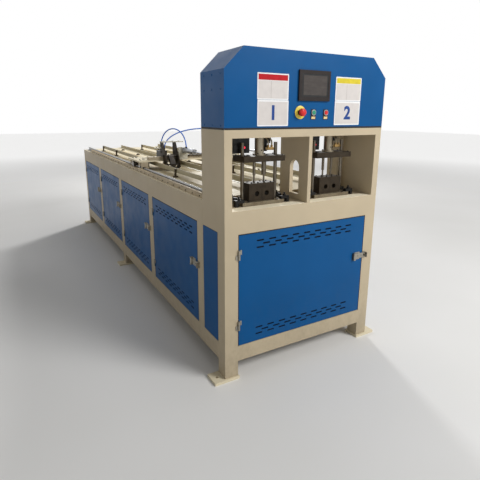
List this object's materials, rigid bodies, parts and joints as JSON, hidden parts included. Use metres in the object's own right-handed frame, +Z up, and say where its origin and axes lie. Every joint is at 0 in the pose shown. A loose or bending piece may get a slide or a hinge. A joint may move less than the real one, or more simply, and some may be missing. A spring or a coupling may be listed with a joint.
{
  "type": "cnc tube punching machine",
  "caption": "Floor-standing hydraulic tube punching machine with a punching head, a long cabinet bed, guide rails and a rack-driven gripper carriage.",
  "frame": {"origin": "floor level, at the centre of the four corner anchor holes", "axes": "+Z up, +Y along the bed from the punching head to the far end, +X to the right when looking at the head front"},
  "size_m": [1.18, 4.013, 1.735],
  "materials": {
    "blue_paint": "satin",
    "beige_paint": "satin",
    "cream_paint": "satin",
    "table_steel": "ground",
    "die_steel": "oiled",
    "shoe_steel": "ground",
    "black_steel": "satin",
    "bright_steel": "ground",
    "chrome_rod": "polished",
    "ram_steel": "dull",
    "black_plastic": "matte",
    "housing_plastic": "matte",
    "grey_paint": "satin",
    "light_grey_paint": "satin",
    "aluminium": "brushed",
    "red_plastic": "gloss",
    "green_plastic": "gloss",
    "hose_blue": "satin"
  },
  "bodies": {
    "machine": {"foot_plates": "beige_paint", "frame_posts": "beige_paint", "side_rails": "beige_paint", "cross_rails": "beige_paint", "table_plate": "table_steel", "head_walls": "beige_paint", "head_crown": "beige_paint", "hood": "blue_paint", "fixed_panels": "blue_paint", "bed_deck": "cream_paint", "hmi_panel": "housing_plastic", "button_collars": "black_plastic", "door_fittings": "bright_steel", "gear_rack": "ram_steel", "supported_rails": "bright_steel", "guide_angles": "cream_paint", "guide_posts": "shoe_steel", "die_shoes": "shoe_steel", "die_blocks": "die_steel", "guide_pillars": "bright_steel", "die_clamps": "black_steel", "clamp_studs": "black_steel", "cylinders": "grey_paint", "station_valves": "black_plastic", "oil_tank": "grey_paint", "pump_motor": "grey_paint", "control_box": "light_grey_paint"},
    "head_door": {"head_door": "blue_paint"},
    "head_latch": {"head_latch": "bright_steel"},
    "platen_a": {"platen_a": "die_steel", "punches_a": "bright_steel", "ram_a": "ram_steel"},
    "platen_b": {"platen_b": "die_steel", "punches_b": "bright_steel", "ram_b": "ram_steel"},
    "estop": {"estop_button": "red_plastic"},
    "start": {"start_button": "green_plastic"},
    "stop": {"stop_button": "red_plastic"},
    "carriage": {"carriage_plate": "table_steel", "carriage_frame": "beige_paint", "bearing_blocks": "aluminium", "gear_motor": "black_steel", "gripper_cheeks": "die_steel", "gripper_brackets": "light_grey_paint", "lower_jaws": "ram_steel", "grip_barrel": "aluminium", "carriage_valves": "black_plastic", "air_hose_a": "hose_blue", "air_hose_b": "hose_blue"},
    "pinion": {"drive_pinion": "ram_steel"},
    "rocker": {"gripper_rocker": "ram_steel"},
    "grip_rods": {"grip_rod": "chrome_rod"},
    "bed_door_1": {"bed_door_1": "blue_paint"},
    "bed_latch_1": {"bed_latch_1": "bright_steel"},
    "bed_door_2": {"bed_door_2": "blue_paint"},
    "bed_latch_2": {"bed_latch_2": "bright_steel"},
    "bed_door_3": {"bed_door_3": "blue_paint"},
    "bed_latch_3": {"bed_latch_3": "bright_steel"},
    "bed_door_4": {"bed_door_4": "blue_paint"},
    "bed_latch_4": {"bed_latch_4": "bright_steel"}
  },
  "joints": [
    {"name": "head_door_hinge", "type": "hinge", "parent": "machine", "child": "head_door", "pos_m": [-0.4435, -1.99, 0.5], "axis": [0, 0, -1], "range_deg": [0, 110]},
    {"name": "head_latch_turn", "type": "hinge", "parent": "head_door", "child": "head_latch", "pos_m": [0.37, -1.9945, 0.573], "axis": [0, 0, -1], "range_deg": [0, 100]},
    {"name": "bed_door_1_hinge", "type": "hinge", "parent": "machine", "child": "bed_door_1", "pos_m": [-0.5315, -0.828, 0.5], "axis": [0, 0, -1], "range_deg": [0, 100]},
    {"name": "bed_latch_1_turn", "type": "hinge", "parent": "bed_door_1", "child": "bed_latch_1", "pos_m": [-0.536, -1.5665, 0.573], "axis": [0, 0, -1], "range_deg": [0, 100]},
    {"name": "bed_door_2_hinge", "type": "hinge", "parent": "machine", "child": "bed_door_2", "pos_m": [-0.5315, 0.082, 0.5], "axis": [0, 0, -1], "range_deg": [0, 100]},
    {"name": "bed_latch_2_turn", "type": "hinge", "parent": "bed_door_2", "child": "bed_latch_2", "pos_m": [-0.536, -0.6565, 0.573], "axis": [0, 0, -1], "range_deg": [0, 100]},
    {"name": "bed_door_3_hinge", "type": "hinge", "parent": "machine", "child": "bed_door_3", "pos_m": [-0.5315, 0.992, 0.5], "axis": [0, 0, -1], "range_deg": [0, 100]},
    {"name": "bed_latch_3_turn", "type": "hinge", "parent": "bed_door_3", "child": "bed_latch_3", "pos_m": [-0.536, 0.2535, 0.573], "axis": [0, 0, -1], "range_deg": [0, 100]},
    {"name": "bed_door_4_hinge", "type": "hinge", "parent": "machine", "child": "bed_door_4", "pos_m": [-0.5315, 1.902, 0.5], "axis": [0, 0, -1], "range_deg": [0, 100]},
    {"name": "bed_latch_4_turn", "type": "hinge", "parent": "bed_door_4", "child": "bed_latch_4", "pos_m": [-0.536, 1.1635, 0.573], "axis": [0, 0, -1], "range_deg": [0, 100]},
    {"name": "platen_a_slide", "type": "slide", "parent": "machine", "child": "platen_a", "axis": [0, 0, -1], "range_m": [0, 0.036]},
    {"name": "platen_b_slide", "type": "slide", "parent": "machine", "child": "platen_b", "axis": [0, 0, -1], "range_m": [0, 0.036]},
    {"name": "estop_press", "type": "slide", "parent": "machine", "child": "estop", "axis": [0, 1, 0], "range_m": [0, 0.004], "stiffness_N_per_m": 1500, "springref_m": -0.001},
    {"name": "start_press", "type": "slide", "parent": "machine", "child": "start", "axis": [0, 1, 0], "range_m": [0, 0.004], "stiffness_N_per_m": 1500, "springref_m": -0.001},
    {"name": "stop_press", "type": "slide", "parent": "machine", "child": "stop", "axis": [0, 1, 0], "range_m": [0, 0.004], "stiffness_N_per_m": 1500, "springref_m": -0.001},
    {"name": "carriage_travel", "type": "slide", "parent": "machine", "child": "carriage", "axis": [0, 1, 0], "range_m": [-0.7, 1.7]},
    {"name": "pinion_turn", "type": "hinge", "parent": "carriage", "child": "pinion", "pos_m": [-0.5, -0.2935, 1.0175], "axis": [-1, 0, 0], "continuous": true},
    {"name": "rocker_turn", "type": "hinge", "parent": "carriage", "child": "rocker", "pos_m": [0, -0.4835, 1.09], "axis": [-1, 0, 0], "range_deg": [0, 16]},
    {"name": "grip_rod_slide", "type": "slide", "parent": "carriage", "child": "grip_rods", "axis": [0, 1, 0], "range_m": [0, 0.01257]}
  ],
  "couplings": [
    {"joint": "pinion_turn", "follows": "carriage_travel", "rad_per_m": 44.444},
    {"joint": "grip_rod_slide", "follows": "rocker_turn", "m_per_rad": 0.045}
  ]
}
